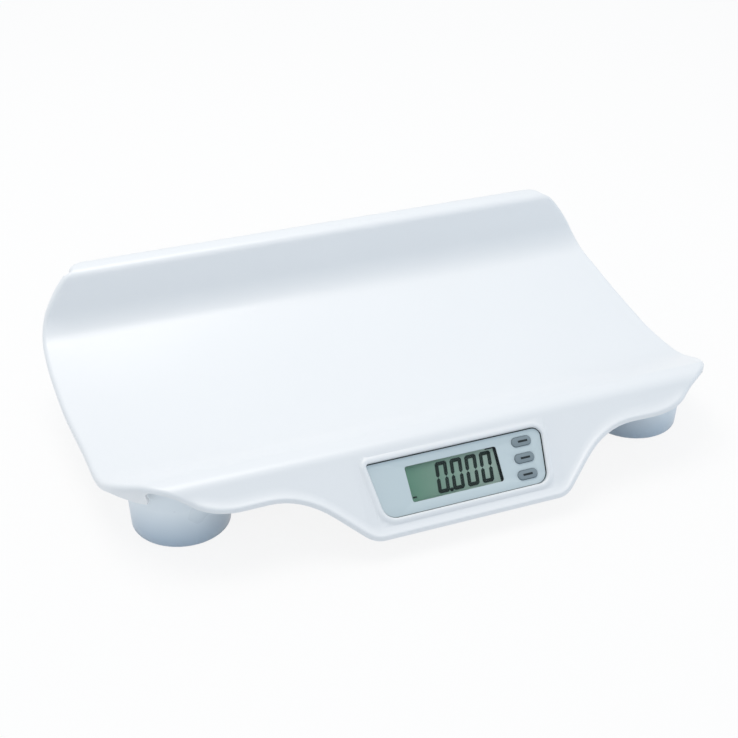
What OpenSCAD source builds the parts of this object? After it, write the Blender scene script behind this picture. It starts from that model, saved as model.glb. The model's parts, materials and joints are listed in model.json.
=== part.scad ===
// Digital baby weighing scale: a one-piece curved tray on four sensing feet, with a display
// and three keys in the lobe at its front. Millimetres. X runs along the tray, Y to its back
// wall, Z up, and the origin lies on the floor under the middle of the tray.

/* [Tray] */
// Length of the tray from end to end
tray_length = 550; // [520:1:580]
// Depth of the tray from the lobe's lip to the back of the rim
tray_depth = 362; // [356:1:368]
// Height of the lowest line of the tray, where the baby lies
flat_z = 42; // [41:0.5:44]
// Height of the rim of the back wall
rim_z = 120; // [110:1:130]
// Height of the crest along the front
crest_z = 72; // [69:0.5:75]
// Wall of the tray moulding
tray_wall = 3; // [2.6:0.1:3.2]
// Slope of the back wall at its steepest, in degrees
back_slope = 78; // [74:1:80]
// Radius of the curve at the foot of the back wall
back_curve_r = 30; // [26:1:34]
// Slope of the lying surface where it meets that curve, in degrees
floor_slope = 16; // [14:0.5:17]
// Radius of the rolled rim
rim_r = 8; // [6:0.5:9]
// Width of the level land on top of the rim
rim_land = 9; // [7:0.5:10]
// Slope of the rise from the flat to the front crest, in degrees
rise_slope = 26; // [24:1:28]
// Radius where the flat turns up into the rise
rise_r = 90; // [80:1:95]
// Radius of the crest's back
crest_back_r = 30; // [24:1:34]
// Radius of the crest's front, where it rolls over into the apron
crest_r = 14; // [12:1:16]
// Distance from the lobe's lip back to the crest
crest_setback = 56.5; // [54:0.5:58]
// How far the back wall's ends draw in towards the rim
back_corner_w = 40; // [36:1:44]
// Height above the floor where they start to draw in
back_corner_z = 55; // [52:1:60]
// How much further the rim's outer edge draws in
rim_corner_w = 11; // [8:1:14]
// Width of the rounded corners at the front, along X
front_corner_w = 92; // [84:1:96]
// Depth of the rounded corners at the front, along Y
front_corner_d = 116; // [112:1:119]
// How far the ends draw in at their waist
waist = 3; // [0:0.5:4]
// Radius of the roll along the edge of the tray
edge_r = 3.5; // [3.2:0.1:4]
// Depth of the turned-down lip along the ends
end_lip = 7; // [5:0.5:7.5]
// Height above the floor of that lip's lower edge where it deepens at the front corners
corner_skirt_z = 46.5; // [44:0.5:48]
// Depth of the turned-down lip along the rim
rim_lip = 15; // [13:0.5:17]

/* [Apron] */
// Slope of the apron and of the display, in degrees below level
apron_slope = 48; // [46:0.5:50]
// Width of the lobe, measured where the lines of its lip and its flanks meet
lobe_w = 166; // [162:1:170]
// Slope of the lobe's flanks in plan, in degrees
flank_slope = 33; // [31:1:36]
// Radius of the lip at the lobe's corners
lobe_corner_r = 22; // [18:1:26]
// Radius of the lip where a flank runs into its arch
arch_r = 94; // [84:2:104]
// Distance from the lobe's lip back to the lip of the arches
arch_setback = 34.5; // [33.5:0.5:35.5]
// How far the apron flares outwards at its lip
flare = 2.2; // [1.5:0.1:2.6]
// Width of the flared band
flare_w = 9; // [8:0.5:10]
// Radius of the lip's edge
lip_r = 2; // [1.5:0.1:2.5]
// Depth of the lip below that edge
lip_drop = 2.5; // [2:0.5:3.5]

/* [Display panel] */
// Width of the panel at its top
panel_top_w = 155; // [152:0.5:158]
// Width of the panel at its bottom
panel_bottom_w = 143; // [140:0.5:146]
// Height of the panel along the slope
panel_h = 46; // [45:0.5:47]
// Thickness of the panel
panel_t = 2; // [1.8:0.1:2.4]
// How far the panel's face lies below the apron
panel_sink = 1.2; // [0.8:0.1:1.6]
// Distance down the slope from the crest's roll to the middle of the panel
panel_down = 30.4; // [30:0.2:31]
// Width of the bead moulded round the panel
bead_w = 5.2; // [4.6:0.1:5.4]
// Height of that bead
bead_h = 1.4; // [1:0.1:1.8]
// Width of the ledge that the panel is seated on
ledge_w = 3; // [2.6:0.1:3.2]
// Width of the display's window
window_w = 80.5; // [78:0.5:81]
// Height of the display's window
window_h = 29; // [28:0.5:30]
// Place of the window's middle, left of the panel's middle
window_left = 5.8; // [5:0.2:7]
// Width of a key
key_w = 17.5; // [16:0.5:18]
// Height of a key along the slope
key_h = 7.6; // [7:0.1:8]
// Distance from key to key
key_pitch = 13.6; // [13:0.1:14]
// Distance from the panel's middle to the middle key
key_right = 56.6; // [56:0.2:57.4]
// How far a key stands above the panel
key_proud = 1; // [0.9:0.1:1.3]
// How far a key can be pressed
key_travel = 0.8; // [0.5:0.1:0.8]

/* [Feet] */
// Distance between the feet along the tray, middle to middle
foot_span_x = 420; // [416:1:424]
// Distance between the feet from front to back, middle to middle
foot_span_y = 146; // [144:1:148]
// Radius of a foot near the floor
foot_r = 40; // [38:0.5:40.5]
// Radius of a foot at its top
foot_top_r = 44.5; // [43.5:0.5:45]
// Wall of a foot
foot_wall = 2.6; // [2.2:0.1:3]
// How far the foot stands clear of the floor round its pad
foot_clear = 0.8; // [0.6:0.1:1.2]
// Radius of the rubber pad
pad_r = 30; // [28:0.5:31]
// Thickness of the rubber pad
pad_t = 2.5; // [2:0.1:3]
// Side of the square load cell
cell_side = 34; // [32:0.5:36]
// Thickness of the load cell's steel
cell_t = 2.2; // [2:0.1:2.4]

/* [Base and battery] */
// Height of the base cover's underside
base_z = 18; // [17:0.5:18.5]
// Wall of the base cover
base_wall = 2.5; // [2.2:0.1:2.8]
// Width of the base cover
base_w = 380; // [374:1:382]
// Width of the base cover inside the lobe
base_lobe_w = 168; // [164:1:170]
// Diameter of an AA cell
aa_d = 14.2; // [13.9:0.1:14.4]
// Length of an AA cell with its button
aa_l = 50.2; // [49.6:0.1:50.4]
// Number of AA cells side by side
aa_count = 4; // [2:1:4]
// Thickness of the battery door
door_t = 2; // [1.8:0.1:2.2]

/* [Fits] */
// Clearance of a piece that is seated in a recess
seat_gap = 0.15; // [0.1:0.01:0.2]
// Clearance all round a piece that slides
slide_gap = 0.3; // [0.25:0.05:0.4]

/* [Hidden] */
$fn = 48;
FEET = ["fl", "fr", "bl", "br"];

// Vector helpers
function unit(v) = v / norm(v);
function across(v, along) = unit(v - (v * along) * along);
function mix(a, b, t) = a + (b - a) * t;
function smooth(t) = let (s = min(1, max(0, t))) s * s * (3 - 2 * s);

// Heights and places along the tray's side profile, from the back rim to the apron
front_y = -tray_depth / 2;
rim_back_y = tray_depth / 2 - rim_r;
rim_roll_y = rim_back_y - rim_land;
curve_run = back_curve_r * (sin(back_slope) - sin(floor_slope));
curve_rise = back_curve_r * (cos(floor_slope) - cos(back_slope));
crest_y = front_y + crest_setback;
crest_land = 2;
rise_turns = (rise_r + crest_back_r) * (1 - cos(rise_slope));
rise_run = (crest_z - flat_z - rise_turns) / tan(rise_slope) + (rise_r + crest_back_r) * sin(rise_slope);
rise_y = crest_y + crest_land + rise_run;
floor_y = rise_y + 14;
wall_rise = rim_z - rim_r * (1 - cos(back_slope)) - curve_rise - flat_z;
wall_span = rim_roll_y - rim_r * sin(back_slope) - curve_run - floor_y;
// The lying surface is one long arc: its radius takes up what the wall leaves of the depth
floor_r = (wall_span - wall_rise / tan(back_slope))
    / (sin(floor_slope) - (1 - cos(floor_slope)) / tan(back_slope));
floor_end_y = floor_y + floor_r * sin(floor_slope);
floor_end_z = flat_z + floor_r * (1 - cos(floor_slope));
apron_y = crest_y - crest_r * sin(apron_slope);
apron_z = crest_z - crest_r * (1 - cos(apron_slope));
apron_n = [0, -sin(apron_slope), cos(apron_slope)];
arch_y = front_y + arch_setback;
corner_front_y = arch_y + front_corner_d;

// One arc of the profile, as rows of y, z and the unit normal; turn is -1 for a hollow arc
function arc_rows(y, z, r, a0, a1, steps, turn = 1) =
    [for (i = [0:steps]) let (a = mix(a0, a1, i / steps))
        [y + r * cos(a), z + r * sin(a), turn * cos(a), turn * sin(a)]];

// Rows between the end of one arc and the start of the next
function line_rows(from, to, steps) =
    [for (i = [1:steps - 1]) [for (k = [0:3]) mix(from[k], to[k], i / steps)]];

// The side profile of the trough, from the back of the rim to the top of the apron
rim_rows = arc_rows(rim_roll_y, rim_z - rim_r, rim_r, 90, 90 + back_slope, 8);
curve_rows = arc_rows(floor_end_y - back_curve_r * sin(floor_slope),
    floor_end_z + back_curve_r * cos(floor_slope),
    back_curve_r, back_slope - 90, floor_slope - 90, 10, -1);
rise_rows = arc_rows(rise_y, flat_z + rise_r, rise_r, -90, -90 - rise_slope, 8, -1);
crest_rows = arc_rows(crest_y + crest_land, crest_z - crest_back_r, crest_back_r,
    90 - rise_slope, 90, 5);
rows = concat(
    [for (i = [6:-1:1]) [rim_roll_y + rim_land * sin(15 * i), rim_z, 0, 1]],
    rim_rows,
    line_rows(rim_rows[8], curve_rows[0], 6),
    curve_rows,
    [for (i = [1:10]) let (a = floor_slope * (1 - i / 10))
        [floor_y + floor_r * sin(a), flat_z + floor_r * (1 - cos(a)), -sin(a), cos(a)]],
    rise_rows,
    line_rows(rise_rows[8], crest_rows[0], 6),
    crest_rows,
    arc_rows(crest_y, crest_z - crest_r, crest_r, 90, 90 + apron_slope, 8));

// Plan outline of the trough, measured where the edge roll starts
half_length = tray_length / 2 - edge_r;
lobe_edge_slope = apron_slope - atan(2 * flare / flare_w);
lobe_y = front_y + flare * sin(apron_slope) + lip_r * (1 - sin(lobe_edge_slope));
// Where the end's lip turns up into the apron's, and how far that takes
skirt_turn_y = apron_y + 36;
skirt_turn_run = 22;
function quarter(t, p = 2) = pow(max(0, 1 - pow(max(0, t), p)), 1 / p);
corner_power = 2.2;
waist_y = -20;
waist_reach = 80;
function half_width(y, z) =
    half_length
    - waist * pow(max(0, 1 - pow((y - waist_y) / waist_reach, 2)), 2)
    - rim_corner_w * (1 - quarter((y - rim_roll_y) / rim_land))
    - back_corner_w * (1 - quarter((z - back_corner_z) / (rim_z + 1 - back_corner_z), 1.4))
        * (y > corner_front_y ? 1 : 0)
    - front_corner_w * (1 - quarter((corner_front_y - y) / front_corner_d, corner_power));
// Plan outline of the apron's lip: the lobe, its corner, the flank, the arch and the front corner
arch_in = arch_y - lobe_y;
lobe_tangent = lobe_corner_r * tan(flank_slope / 2);
arch_tangent = arch_r * tan(flank_slope / 2);
flank_x0 = lobe_w / 2 + lobe_tangent * cos(flank_slope);
arch_meet_x = lobe_w / 2 + arch_in / tan(flank_slope);
flank_x1 = arch_meet_x - arch_tangent * cos(flank_slope);
arch_x = arch_meet_x + arch_tangent;
corner_x = half_length - front_corner_w;
function lip_in(a) =
    a < lobe_w / 2 - lobe_tangent ? 0
    : a < flank_x0
        ? lobe_corner_r - sqrt(pow(lobe_corner_r, 2) - pow(a - lobe_w / 2 + lobe_tangent, 2))
    : a < flank_x1 ? (a - lobe_w / 2) * tan(flank_slope)
    : a < arch_x ? arch_in - arch_r + sqrt(pow(arch_r, 2) - pow(arch_x - a, 2))
    : arch_in;
function lip_y(x) =
    let (a = abs(x))
    a > corner_x
        ? corner_front_y - front_corner_d * quarter((a - corner_x) / front_corner_w, corner_power)
        : lobe_y + lip_in(a);

// Stations along the lip, from the middle to the right corner, then mirrored to the left
apron_top_x = half_width(apron_y, apron_z);
apron_end_x = apron_top_x - 6;
lobe_x = lobe_w / 2 - lobe_tangent;
half_stations = concat(
    [0, lobe_w / 4],
    [for (i = [0:5]) mix(lobe_x, flank_x0, i / 5)],
    [for (i = [1:2]) mix(flank_x0, flank_x1, i / 2)],
    [for (i = [1:8]) mix(flank_x1, arch_x, i / 8)],
    [for (i = [1:10]) mix(arch_x, apron_end_x, i / 10)]);
half_count = len(half_stations);
lip_x = concat(
    [for (i = [half_count - 1:-1:1]) -half_stations[i]],
    half_stations);
station_count = len(lip_x);

// One point of the apron: station j, and step k from its top (0) to its lip (4)
apron_steps = 5;
flare_fade = 15;
function apron_point(j, k) =
    let (
        x = lip_x[j],
        run = (apron_y - lip_y(x)) / cos(apron_slope),
        band = flare_w * min(1, run / (1.3 * flare_w)),
        left = k == 0 ? run : band * [0, 1, 0.6, 0.3, 0.1, 0][k],
        fade = smooth(run / flare_fade),
        rise = k == 0 ? 0 : fade * flare * band / flare_w * pow(1 - left / band, 2),
        t = run - left,
        px = mix(x * apron_top_x / apron_end_x, x, t / run))
    [px, apron_y - t * cos(apron_slope), apron_z - t * sin(apron_slope)] + rise * apron_n;

// Skin of the tray: the trough's rows, then the apron's grid
trough_rows = len(rows) - 1;
skin = concat(
    [for (i = [0:trough_rows - 1]) each let (w = half_width(rows[i][0], rows[i][1]))
        [[-w, rows[i][0], rows[i][1]], [w, rows[i][0], rows[i][1]]]],
    [for (k = [0:apron_steps]) for (j = [0:station_count - 1]) apron_point(j, k)]);
skin_normals = concat(
    [for (i = [0:trough_rows - 1]) each let (n = [0, rows[i][2], rows[i][3]]) [n, n]],
    [for (k = [0:apron_steps]) for (j = [0:station_count - 1]) apron_n]);
skin_count = len(skin);
function grid(k, j) = 2 * trough_rows + k * station_count + j;

// The edge loop runs clockwise from above: back left, right side, lip, left side
last_j = station_count - 1;
edge_loop = concat(
    [0],
    [for (i = [0:trough_rows - 1]) 2 * i + 1],
    [for (k = [0:apron_steps]) grid(k, last_j)],
    [for (j = [last_j - 1:-1:0]) grid(apron_steps, j)],
    [for (k = [apron_steps - 1:-1:0]) grid(k, 0)],
    [for (i = [trough_rows - 1:-1:1]) 2 * i]);
loop_count = len(edge_loop);
function on_lip(q) = q > grid(apron_steps, 0) && q < grid(apron_steps, last_j);

// Edge roll of one loop point: radius, lip depth, outward tangent and downward direction
function edge_frame(m) =
    let (
        q = edge_loop[m],
        p = skin[q],
        along = unit(skin[edge_loop[(m + 1) % loop_count]]
            - skin[edge_loop[(m + loop_count - 1) % loop_count]]),
        out = on_lip(q) ? across(skin[q] - skin[q - station_count], along)
            : unit(cross(skin_normals[q], along)),
        behind = q < 2 * trough_rows && p[1] > floor_y,
        down = across(behind ? -skin_normals[q] : [0, 0, -1], along),
        on_land = min(1, max(0, (p[1] - rim_roll_y) / rim_land)),
        front = on_lip(q) ? 1 : smooth((apron_y - p[1] + 25) / 25),
        side = smooth((abs(p[0]) - arch_x) / (apron_end_x - arch_x)),
        r = mix(mix(edge_r, rim_r, smooth(on_land)), mix(lip_r, edge_r, side), front),
        turn = acos(out * down),
        turned = smooth((skirt_turn_y - p[1]) / skirt_turn_run),
        lip_total = lip_drop + lip_r * sin(turn),
        depth = on_lip(q) ? lip_total
            : p[1] < floor_y ? mix(max(end_lip, p[2] - corner_skirt_z), lip_total, turned)
            : mix(end_lip, rim_lip, on_land))
    [p, out, down, turn, r, max(0.5, depth - r * sin(turn)), skin_normals[q]];

roll_steps = 4;
// Points of the roll round a centre line, turned from the outward tangent by the angle a
function roll_point(f, r, a) =
    r / sin(f[3]) * (f[1] * (cos(f[3] - a) - cos(f[3])) + f[2] * (1 - cos(a)));
function edge_rings(f) =
    let (
        inner_r = max(f[4] - tray_wall, 0.4),
        inside = f[0] - f[6] * tray_wall,
        outer_end = f[0] + roll_point(f, f[4], f[3]),
        inner_end = inside + roll_point(f, inner_r, f[3]),
        drop = f[5] + (outer_end - inner_end) * f[2])
    concat(
        [for (i = [1:roll_steps]) f[0] + roll_point(f, f[4], f[3] * i / roll_steps)],
        [outer_end + f[2] * f[5], inner_end + f[2] * drop],
        [for (i = [2:-1:1]) inside + roll_point(f, inner_r, f[3] * i / 2)]);

frames = [for (m = [0:loop_count - 1]) edge_frame(m)];
ring_sets = [for (f = frames) edge_rings(f)];
ring_count = roll_steps + 4;
shell_points = concat(
    skin,
    [for (q = [0:skin_count - 1]) skin[q] - skin_normals[q] * tray_wall],
    [for (i = [0:ring_count - 1]) for (m = [0:loop_count - 1]) ring_sets[m][i]]);

// Faces run clockwise as seen from outside
function strip(a, b, closed = true) =
    [for (m = [0:len(a) - (closed ? 1 : 2)]) let (n = (m + 1) % len(a))
        each [[a[m], b[m], b[n]], [a[m], b[n], a[n]]]];
function ring(i) =
    i == 0 ? edge_loop
    : i > ring_count ? [for (q = edge_loop) q + skin_count]
    : [for (m = [0:loop_count - 1]) 2 * skin_count + (i - 1) * loop_count + m];
function grid_row(k) = [for (j = [0:last_j]) grid(k, j)];
top_faces = concat(
    [for (i = [0:trough_rows - 2]) [2 * i, 2 * i + 1, 2 * i + 3, 2 * i + 2]],
    [[2 * trough_rows - 2, 2 * trough_rows - 1, grid(0, last_j)]],
    [for (j = [last_j:-1:1]) [2 * trough_rows - 2, grid(0, j), grid(0, j - 1)]],
    [for (k = [0:apron_steps - 1]) each strip(grid_row(k + 1), grid_row(k), false)]);
shell_faces = concat(
    top_faces,
    [for (face = top_faces) [for (n = [len(face) - 1:-1:0]) face[n] + skin_count]],
    [for (i = [0:ring_count]) each strip(ring(i), ring(i + 1))]);

module tray_skin() {
    polyhedron(points = shell_points, faces = shell_faces, convexity = 8);
}

// The space under the tray moulding, a given distance below its top surface
function under_rows(depth) =
    [for (row = rows) [row[0] - row[2] * depth, row[1] - row[3] * depth]];
module under_tray(depth) {
    lip = [lobe_y + depth / sin(apron_slope), 0];
    apron_end = [apron_y - apron_n[1] * depth, apron_z - apron_n[2] * depth];
    foot = apron_end - [1, tan(apron_slope)] * apron_end[1] / tan(apron_slope);
    rotate([90, 0, 90])
        linear_extrude(tray_length, center = true)
            polygon(concat([[under_rows(depth)[0][0], 0]], under_rows(depth), [foot]));
}

// Plain rounded rectangle about the origin
module plate(w, h, r) {
    union() {
        square([w - 2 * r, h], center = true);
        square([w, h - 2 * r], center = true);
        for (x = [-1, 1]) for (y = [-1, 1])
            translate([x * (w / 2 - r), y * (h / 2 - r)]) circle(r);
    }
}
module oval(w, h) {
    square([w - h, h], center = true);
    for (x = [-1, 1]) translate([x * (w - h) / 2, 0]) circle(h / 2);
}

// Places of what repeats
foot_at = [
    [-foot_span_x / 2, -foot_span_y / 2], [foot_span_x / 2, -foot_span_y / 2],
    [-foot_span_x / 2, foot_span_y / 2], [foot_span_x / 2, foot_span_y / 2]];
foot_screw_r = foot_r - foot_wall - 8.4;
foot_screw_turns = [90, 210, 330];
base_front_y = front_y + 10;
base_step_y = arch_y + 56;
base_back_y = 116;
case_posts = [
    [-76, base_front_y + 20], [76, base_front_y + 20],
    [-120, base_step_y + 14], [120, base_step_y + 14],
    [-base_w / 2 + 12, 0], [base_w / 2 - 12, 0],
    [-120, base_back_y - 12], [120, base_back_y - 12]];
post_r = 4.5;
screw_r = 1.5;
screw_head_r = 2.8;
screw_head_t = 1.8;
screw_clear = 0.1;
case_post_z = base_z + 6;
well_floor = 2;
diaphragm_z = pad_t + 9.5;
diaphragm_t = 2.5;
case_screw_l = 12;
foot_screw_l = 11;

module posts(places, r, z) {
    for (at = places) translate([at[0], at[1], z]) cylinder(h = rim_z - z, r = r);
}
foot_post_at = [for (at = foot_at) for (a = foot_screw_turns)
    at + foot_screw_r * [cos(a), sin(a)]];

// Display frame: local x to the right, y up the slope, z out of the panel's face
panel_y = apron_y - panel_down * cos(apron_slope);
panel_z = apron_z - panel_down * sin(apron_slope);
module on_apron() {
    translate([0, panel_y, panel_z]) rotate([apron_slope, 0, 0]) children();
}
module on_panel() {
    on_apron() translate([0, 0, -panel_sink]) children();
}

// The panel's outline: a trapezium with its own radius at each corner, grown by an amount
panel_corners = [
    [-panel_top_w / 2, panel_h / 2, 2.5], [-panel_bottom_w / 2, -panel_h / 2, 11],
    [panel_bottom_w / 2, -panel_h / 2, 9], [panel_top_w / 2, panel_h / 2, 8]];
function corner_centre(i) =
    let (
        p = panel_corners[i],
        at = [p[0], p[1]],
        last = panel_corners[(i + 3) % 4],
        next = panel_corners[(i + 1) % 4],
        a = unit([last[0], last[1]] - at),
        b = unit([next[0], next[1]] - at),
        half = acos(a * b) / 2)
    at + unit(a + b) * p[2] / sin(half);
function edge_angle(i) =
    let (p = panel_corners[i], next = panel_corners[(i + 1) % 4])
    atan2(next[1] - p[1], next[0] - p[0]) - 90;
corner_steps = 5;
function panel_outline(grow) =
    [for (i = [0:3])
        let (a0 = edge_angle((i + 3) % 4), turn = (edge_angle(i) - a0 + 720) % 360)
        for (k = [0:corner_steps])
            let (a = a0 + turn * k / corner_steps, r = panel_corners[i][2] + grow)
            corner_centre(i) + r * [cos(a), sin(a)]];
module panel_solid(grow, z0, z1) {
    translate([0, 0, z0]) linear_extrude(z1 - z0) polygon(panel_outline(grow));
}

// The pocket that seats the panel, as one ring swept along the panel's outline. Each row of its
// section is a growth of the outline and a height above the apron: the ledge behind the panel,
// the wall beside it, the rounded bead, and the frame's outer side behind the apron.
pocket_frame = 3;
pocket_depth = 5;
pocket_rows = concat(
    [[-ledge_w, -pocket_depth], [-ledge_w, -panel_sink - panel_t], [seat_gap, -panel_sink - panel_t]],
    [for (step = [[0, 0.55], [0.2, 0.92], [0.45, 1], [0.75, 0.75], [1, 0]])
        [seat_gap + step[0] * bead_w, step[1] * bead_h]],
    [[seat_gap + bead_w, -tray_wall / 2], [pocket_frame, -tray_wall / 2], [pocket_frame, -pocket_depth]]);
module panel_pocket() {
    count = len(panel_outline(0));
    row_count = len(pocket_rows);
    points = [for (row = pocket_rows) each [for (p = panel_outline(row[0])) [p[0], p[1], row[1]]]];
    faces = [for (i = [0:row_count - 1]) let (j = (i + 1) % row_count)
        each strip([for (m = [0:count - 1]) j * count + m], [for (m = [0:count - 1]) i * count + m])];
    on_apron() polyhedron(points = points, faces = faces, convexity = 4);
}
// Posts under the tray, each with a blind hole for its screw
module screw_posts(places, z, l) {
    difference() {
        intersection() {
            posts(places, post_r, z);
            under_tray(tray_wall / 2);
        }
        on_apron() panel_solid(seat_gap, -panel_sink - panel_t - seat_gap, crest_z);
        for (at = places) translate([at[0], at[1], z - 1]) cylinder(h = l, r = screw_r + screw_clear);
    }
}
// Tray: the curved moulding, with the panel's pocket and the screw posts
module tray_shell() {
    color("white") {
        difference() {
            tray_skin();
            on_apron() panel_solid(pocket_frame / 2, -pocket_depth - 1, bead_h + 1);
        }
        panel_pocket();
        screw_posts(case_posts, case_post_z, case_screw_l);
        screw_posts(foot_post_at, diaphragm_z + diaphragm_t, foot_screw_l);
    }
}

// Screws: a pan head below a plain shank
module screw(l) {
    cylinder(h = screw_head_t, r = screw_head_r);
    cylinder(h = screw_head_t + l, r = screw_r);
}
module case_screws() {
    color("silver") for (at = case_posts)
        translate([at[0], at[1], case_post_z - well_floor - screw_head_t]) screw(case_screw_l);
}
module foot_screws() {
    color("silver") for (at = foot_post_at)
        translate([at[0], at[1], diaphragm_z - screw_head_t]) screw(foot_screw_l);
}

// Base cover: a pan that closes the tray from below, between the feet and into the lobe
cup_cut_r = foot_top_r + 1;
well_r = 5.5;
module base_outline(inset) {
    pan_depth = base_back_y - base_step_y;
    difference() {
        union() {
            translate([0, base_step_y + pan_depth / 2])
                plate(base_w - 2 * inset, pan_depth - 2 * inset, 12 - inset);
            translate([0, (base_front_y + base_step_y + 24) / 2])
                plate(base_lobe_w - 2 * inset, base_step_y + 24 - base_front_y - 2 * inset,
                    14 - inset);
        }
        for (at = foot_at) translate(at) circle(cup_cut_r + inset);
    }
}
// Battery bay, open below, for cells that lie side by side along Y
cell_pitch = aa_d + 0.6;
bay_w = aa_count * cell_pitch + 0.8;
spring_l = 6;
plate_t = 0.5;
bay_l = aa_l + spring_l + 2 * plate_t + 0.6;
bay_back_y = base_back_y - base_wall;
bay_front_y = bay_back_y - bay_l;
door_rim = 1.2;
door_w = bay_w + 2;
door_front_y = bay_front_y + 1;
tongue_w = 2.5;
groove_top = base_z + door_t + door_rim + slide_gap;
cell_z = groove_top + aa_d / 2 + 0.2;
bay_roof_z = cell_z + aa_d / 2 + 0.5;
module base_cover() {
    color("gainsboro") difference() {
        union() {
            translate([0, 0, base_z]) linear_extrude(base_wall) base_outline(0);
            difference() {
                translate([0, 0, base_z]) linear_extrude(rim_z - base_z) difference() {
                    base_outline(0);
                    base_outline(base_wall);
                }
                difference() {
                    translate([-tray_length, -tray_depth, base_z])
                        cube([2 * tray_length, 2 * tray_depth, rim_z]);
                    under_tray(tray_wall + seat_gap);
                }
                on_panel() translate([-tray_length / 2, -panel_h, -pocket_depth - 2])
                    cube([tray_length, 2 * panel_h, 30]);
            }
            for (at = case_posts)
                translate([at[0], at[1], base_z]) cylinder(h = case_post_z - base_z, r = well_r);
            translate([-bay_w / 2 - base_wall, bay_front_y - base_wall, base_z])
                cube([bay_w + 2 * base_wall, bay_l + 2 * base_wall, bay_roof_z + 2 - base_z]);
            for (side = [-1, 1])
                translate([side * (door_w / 2 + tongue_w / 2), (door_front_y + base_back_y) / 2,
                    (base_z + groove_top + 1.5) / 2])
                    cube([tongue_w + 5, base_back_y - door_front_y + 4, groove_top + 1.5 - base_z],
                        center = true);
        }
        for (at = case_posts) translate([at[0], at[1], base_z - 1]) {
            cylinder(h = case_post_z - base_z + 2, r = screw_r + 0.2);
            cylinder(h = case_post_z - base_z - well_floor + 1, r = screw_head_r + 0.6);
        }
        translate([-bay_w / 2, bay_front_y, base_z - 1])
            cube([bay_w, bay_l, bay_roof_z - base_z + 1]);
        translate([-door_w / 2 - slide_gap, door_front_y - slide_gap, base_z - 1])
            cube([door_w + 2 * slide_gap, tray_depth, groove_top - base_z + 1]);
        translate([-door_w / 2 - tongue_w - slide_gap, door_front_y - slide_gap,
            base_z + door_t - slide_gap])
            cube([door_w + 2 * (tongue_w + slide_gap), tray_depth, door_rim + 2 * slide_gap]);
        translate([-bay_w / 2 - base_wall - 1, bay_front_y + 8, bay_roof_z - 5])
            cube([base_wall + 2, 4, 3]);
        for (at = foot_at)
            translate([at[0] - sign(at[0]) * (cup_cut_r + base_wall / 2), at[1], lead_z])
                rotate([0, 90, 0]) cylinder(h = 3 * base_wall, r = lead_hole_r, center = true);
    }
}

// Battery door: slides out backwards on a tongue along each side, with ridges for the thumb
module battery_door() {
    l = base_back_y - door_front_y;
    ridge = 1.4;
    color("gainsboro") difference() {
        translate([0, base_back_y, base_z]) rotate([90, 0, 0]) linear_extrude(l) polygon([
            [-door_w / 2, 0], [door_w / 2, 0], [door_w / 2, door_t],
            [door_w / 2 + tongue_w, door_t], [door_w / 2 + tongue_w, door_t + door_rim],
            [-door_w / 2 - tongue_w, door_t + door_rim], [-door_w / 2 - tongue_w, door_t],
            [-door_w / 2, door_t]]);
        for (i = [0:5]) translate([-12, base_back_y - 10 - i * 2 * ridge, base_z - 1])
            cube([24, ridge, 1.6]);
    }
}

function cell_x(i) = (i - (aa_count - 1) / 2) * cell_pitch;
function flip(i) = i % 2 == 0 ? 1 : -1;
cell_mid_y = (bay_front_y + bay_back_y) / 2;
cell_shift = spring_l / 2;
module battery_cells() {
    color("goldenrod") for (i = [0:aa_count - 1])
        translate([cell_x(i), cell_mid_y + flip(i) * cell_shift, cell_z])
            rotate([-90 * flip(i), 0, 0]) rotate_extrude() polygon([
                [0, -aa_l / 2], [aa_d / 2 - 1, -aa_l / 2], [aa_d / 2, -aa_l / 2 + 1],
                [aa_d / 2, aa_l / 2 - 2.2], [aa_d / 2 - 1, aa_l / 2 - 1.2],
                [2.7, aa_l / 2 - 1.2], [2.7, aa_l / 2], [0, aa_l / 2]]);
}

// A round tube swept along points, with a flat end at each
function tube_frame(path, i) =
    let (
        last = len(path) - 1,
        along = unit(path[min(last, i + 1)] - path[max(0, i - 1)]),
        side = across(abs(along[2]) > 0.9 ? [1, 0, 0] : [0, 0, 1], along))
    [side, cross(along, side)];
module tube(path, r, sides) {
    count = len(path);
    points = [for (i = [0:count - 1]) let (f = tube_frame(path, i)) for (k = [0:sides - 1])
        path[i] + r * (cos(360 * k / sides) * f[0] + sin(360 * k / sides) * f[1])];
    walls = [for (i = [0:count - 2])
        each strip([for (k = [0:sides - 1]) i * sides + k], [for (k = [0:sides - 1]) (i + 1) * sides + k])];
    ends = [
        [for (k = [0:sides - 1]) k],
        [for (k = [sides - 1:-1:0]) (count - 1) * sides + k]];
    polyhedron(points = points, faces = concat(walls, ends), convexity = 6);
}

// Springs of the battery bay: a coil that widens from the cell to its plate
spring_turns = 3.5;
spring_wire = 0.35;
function spring_path(l) =
    [for (i = [0:10 * spring_turns]) let (t = i / (10 * spring_turns), r = mix(2.4, 4.6, t))
        [r * cos(36 * i), r * sin(36 * i), mix(spring_wire, l - spring_wire, t)]];
module battery_springs() {
    color("silver") for (i = [0:aa_count - 1])
        translate([cell_x(i), cell_mid_y + flip(i) * (cell_shift - aa_l / 2), cell_z])
            rotate([90 * flip(i), 0, 0]) tube(spring_path(spring_l), spring_wire, 5);
}
module battery_contacts() {
    color("silver") for (i = [0:aa_count - 1]) for (end = [-1, 1])
        translate([cell_x(i), end == 1 ? bay_back_y - plate_t / 2 : bay_front_y + plate_t / 2,
            cell_z])
            cube([aa_d - 3, plate_t, aa_d - 3], center = true);
}

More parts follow.
